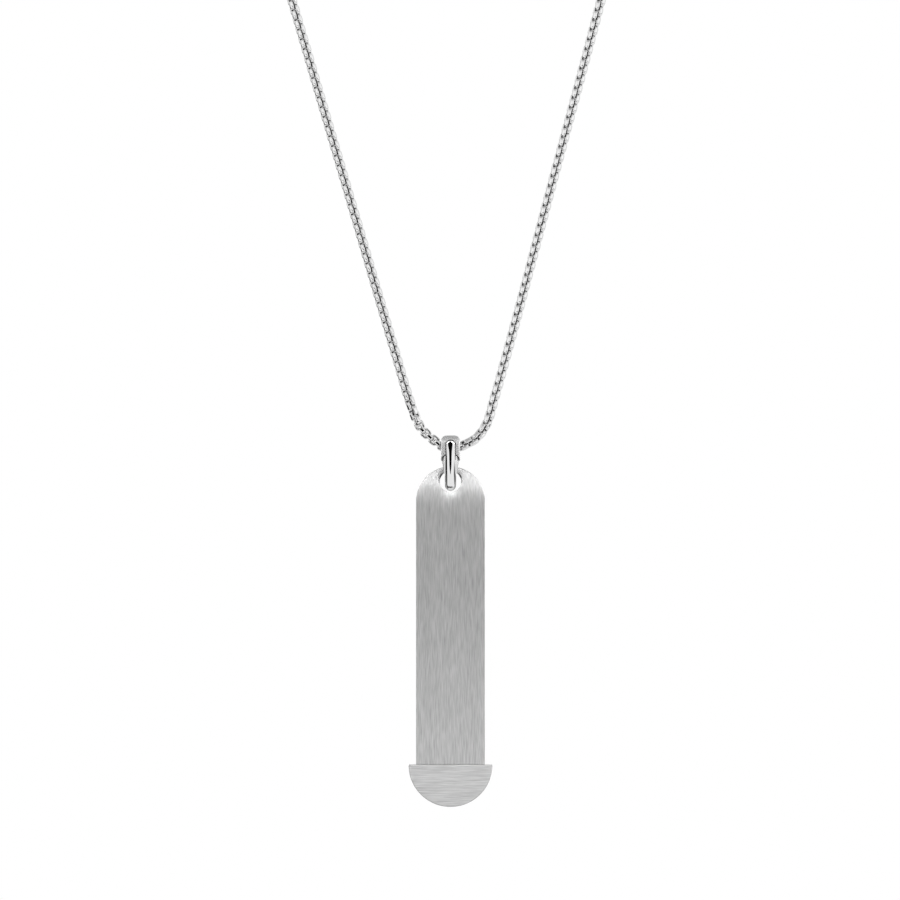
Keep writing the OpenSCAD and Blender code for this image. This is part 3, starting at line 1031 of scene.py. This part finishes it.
def studio_camera():
    """The camera looks level along +Y at the pendant."""
    data = bpy.data.cameras.new("camera")
    camera = bpy.data.objects.new("camera", data)
    bpy.context.scene.collection.objects.link(camera)
    data.sensor_width = SENSOR
    data.lens = SENSOR * CAMERA_DISTANCE / (PHOTO_PIXELS * PIXEL)
    data.clip_start, data.clip_end = 0.01, 20
    half = PHOTO_PIXELS / 2
    to_side, to_top = (half - LOWEST_PIXEL[0]) * PIXEL, (LOWEST_PIXEL[1] - half) * PIXEL
    camera.location = Vector(AXIS * MM) + Vector((to_side, -CAMERA_DISTANCE, to_top))
    camera.rotation_euler = (math.radians(90), 0, 0)
    bpy.context.scene.camera = camera


def only_for(light, receivers):
    """Lets a light reach the given pieces alone."""
    lit = bpy.data.collections.new(light.name + "_lights")
    for piece in receivers:
        lit.objects.link(piece)
    light.light_linking.receiver_collection = lit


# Brightness that the high band adds, by rise
BAND = [(2, 0), (7, 0.45), (11.5, 8.5), (20.5, 8.5), (27, 0.95), (34, 0)]
# The rise and turn that it spans, its distance, and how far under the chain's lowest centre its middle lies
BAND_RISE = (4, 34)
BAND_TURN = (-150, 150)
BAND_DISTANCE = 3000
BAND_DOWN = 20
# Faces as faint as this are left out
BAND_FAINT = 0.05


def high_band(receivers):
    """A bright band above the horizon that the given pieces mirror, with the room's dark parts left out."""
    rise, turn = np.meshgrid(np.linspace(*BAND_RISE, 31), np.linspace(*BAND_TURN, 151), indexing="ij")
    level = np.cos(np.radians(rise))
    x, front = level * np.sin(np.radians(turn)), level * np.cos(np.radians(turn))
    wedge, ring, behind = room(x, rise, turn, np.degrees(np.arccos(front)))
    glow = table(rise, BAND) * (1 - behind) * (1 - np.maximum(wedge, ring))
    middle = np.array([0, AXIS[1], AXIS[2] - BAND_DOWN])
    points = middle + BAND_DISTANCE * np.stack([x, -front, np.sin(np.radians(rise))], axis=-1)
    rows, across = rise.shape
    first = (np.arange(rows - 1)[:, None] * across + np.arange(across - 1)).ravel()
    faces = np.stack([first, first + across, first + across + 1, first + 1], axis=1)
    faces = faces[glow.ravel()[faces].max(axis=1) > BAND_FAINT]
    band = new_mesh("high_band", points.reshape(-1, 3), faces)
    band.data.attributes.new("glow", "FLOAT", "POINT").data.foreach_set("value", glow.ravel())
    material = bpy.data.materials.new("band_light")
    nodes, links = node_tree(material)
    nodes.clear()
    value = nodes.new("ShaderNodeAttribute")
    value.attribute_name = "glow"
    light = nodes.new("ShaderNodeEmission")
    links.new(value.outputs["Fac"], light.inputs["Strength"])
    clear = nodes.new("ShaderNodeBsdfTransparent")
    total = nodes.new("ShaderNodeAddShader")
    links.new(light.outputs["Emission"], total.inputs[0])
    links.new(clear.outputs["BSDF"], total.inputs[1])
    out = nodes.new("ShaderNodeOutputMaterial")
    links.new(total.outputs["Shader"], out.inputs["Surface"])
    material.cycles.emission_sampling = "FRONT"
    band.data.materials.append(material)
    band.visible_camera = False
    band.visible_shadow = False
    only_for(band, receivers)


# The low panel's width, height, place and brightness
PANEL_W, PANEL_H = 260, 60
PANEL_PLACE = (20, AXIS[1] - 140, -258)
PANEL_LEVEL = 1.5


def low_panel(receivers):
    """A soft light in front of the pendant's foot that reaches the given pieces alone."""
    data = bpy.data.lights.new("low_panel", "AREA")
    data.shape = "RECTANGLE"
    data.size, data.size_y = PANEL_W * MM, PANEL_H * MM
    data.energy = PANEL_LEVEL * math.pi * data.size * data.size_y
    panel = bpy.data.objects.new("low_panel", data)
    bpy.context.scene.collection.objects.link(panel)
    panel.location = Vector(PANEL_PLACE) * MM
    panel.rotation_euler = (math.radians(90), 0, 0)
    panel.visible_camera = False
    only_for(panel, receivers)


studio_world()
studio_floor()
high_band([plate, cap, hood, loop])
# The bail doesn't mirror the panel
low_panel([plate])
studio_camera()
bpy.context.scene.view_settings.view_transform = "Standard"
